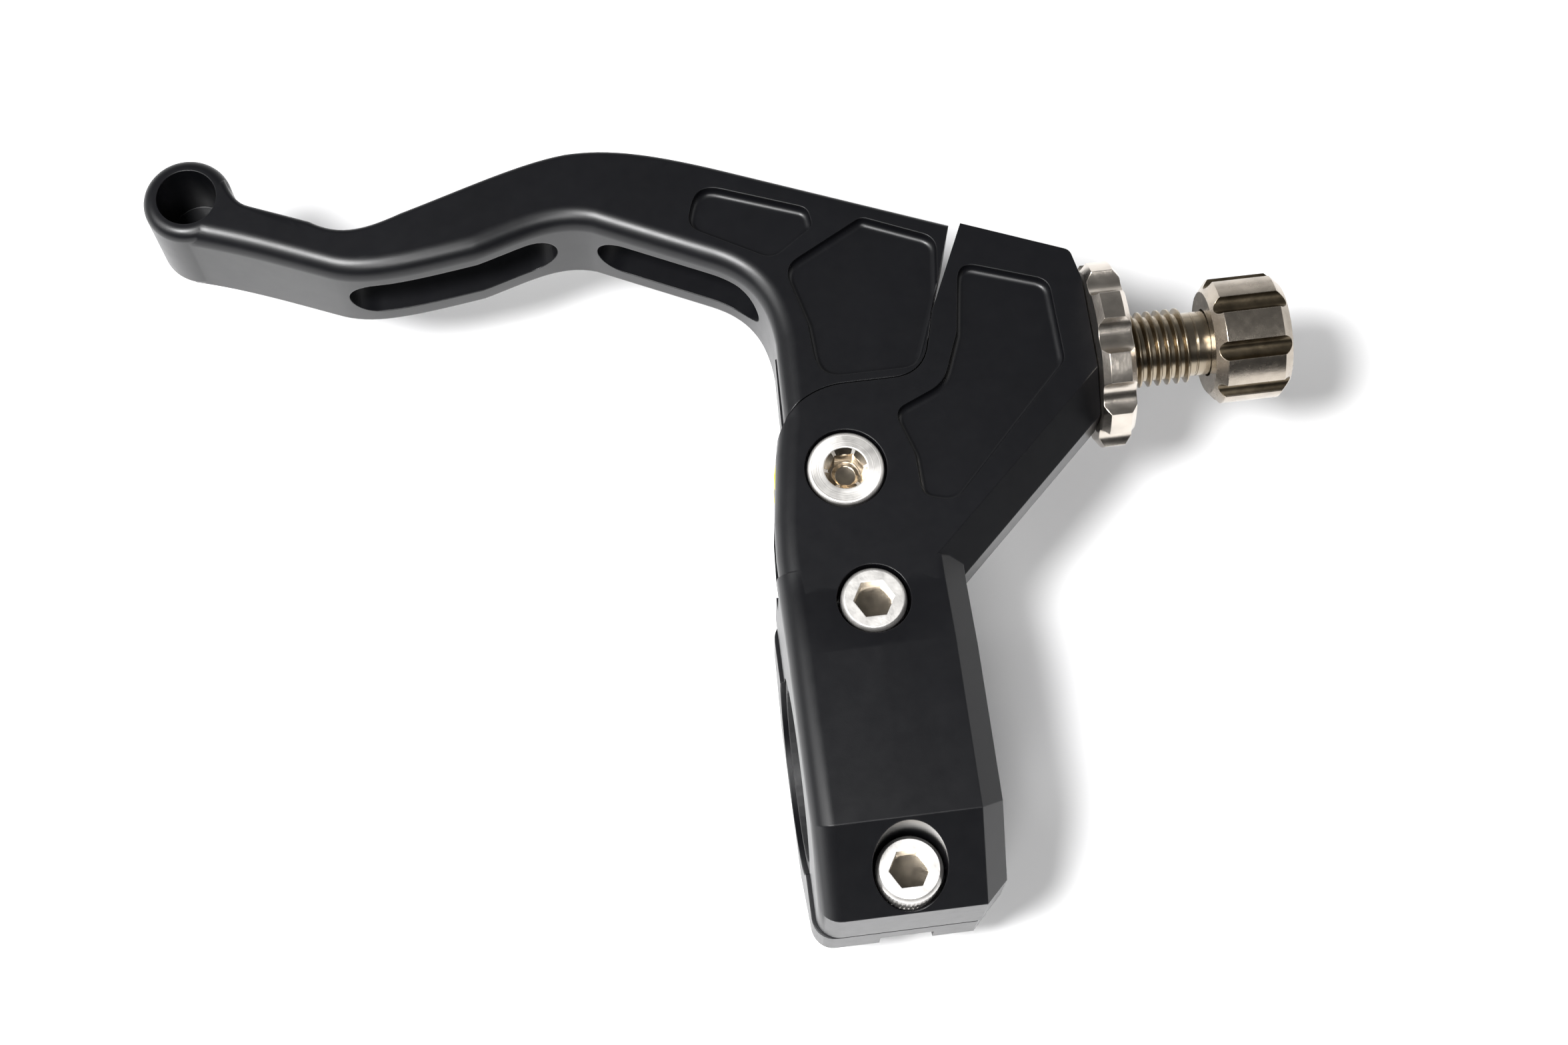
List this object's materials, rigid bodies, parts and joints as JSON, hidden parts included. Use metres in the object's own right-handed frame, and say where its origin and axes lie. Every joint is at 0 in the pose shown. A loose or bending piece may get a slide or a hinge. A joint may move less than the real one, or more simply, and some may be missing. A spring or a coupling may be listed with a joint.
{
  "type": "clutch_lever",
  "caption": "Short clutch lever on its perch, with a split handlebar clamp, a pivot bearing, a lobed lock wheel and a knurled cable adjuster",
  "frame": {"origin": "centre of the handlebar bore, midway between the two clamp bolts along the bar", "axes": "+X along the handlebar towards the cable adjuster, +Y forwards from the bar to the lever, +Z along the lever pivot, from the clamp cap to the top plate"},
  "size_m": [0.1463, 0.1096, 0.0418],
  "materials": {
    "black_anodised": "satin black anodised, softly blasted before anodising",
    "stainless": "turned stainless steel, bright",
    "warm_steel": "satin, with a slightly warm tone",
    "bearing_steel": "ground bearing steel",
    "black_nylon": "matt black nylon",
    "yellow_acetal": "machined yellow acetal",
    "blue_nylon": "matt blue nylon"
  },
  "bodies": {
    "perch": {"perch_body": "black_anodised", "clamp_cap": "black_anodised", "bar_sleeve_upper": "black_nylon", "bar_sleeve_lower": "black_nylon", "clamp_bolt_front": "stainless", "clamp_bolt_rear": "stainless", "pivot_bolt": "stainless", "pivot_nut": "stainless", "pivot_nut_insert": "blue_nylon", "bearing_inner_race": "bearing_steel", "bearing_spacer_upper": "stainless", "bearing_spacer_lower": "stainless", "thrust_washer_upper": "yellow_acetal", "thrust_washer_lower": "yellow_acetal"},
    "lever": {"lever": "black_anodised", "bearing_outer_race": "bearing_steel", "bearing_shield_upper": "bearing_steel", "bearing_shield_lower": "bearing_steel"},
    "ball_cage": {"bearing_ball_cage": "bearing_steel"},
    "housing_seat": {"housing_seat": "black_nylon"},
    "adjuster": {"adjuster_screw": "warm_steel", "adjuster_knob": "warm_steel"},
    "lock_wheel": {"lock_wheel": "stainless"}
  },
  "joints": [
    {"name": "lever_pivot", "type": "hinge", "parent": "perch", "child": "lever", "pos_m": [-0.0011, 0.0342, 0.0124], "axis": [0, 0, 1], "range_deg": [0, 25]},
    {"name": "ball_cage_turn", "type": "hinge", "parent": "perch", "child": "ball_cage", "pos_m": [-0.0011, 0.0342, 0.0124], "axis": [0, 0, 1], "range_deg": [0, 15]},
    {"name": "adjuster_travel", "type": "slide", "parent": "perch", "child": "housing_seat", "axis": [1, 0, 0], "range_m": [-0.00625, 0.005]},
    {"name": "adjuster_turn", "type": "hinge", "parent": "housing_seat", "child": "adjuster", "pos_m": [0.04, 0.0484, 0.0124], "axis": [1, 0, 0], "range_deg": [-1800, 1440]},
    {"name": "lock_wheel_turn", "type": "hinge", "parent": "perch", "child": "lock_wheel", "pos_m": [0.0355, 0.0484, 0.0124], "axis": [1, 0, 0], "range_deg": [0, 360]}
  ],
  "couplings": [
    {"joint": "ball_cage_turn", "follows": "lever_pivot", "ratio": 0.6},
    {"joint": "adjuster_turn", "follows": "adjuster_travel", "rad_per_m": 5026.5}
  ]
}
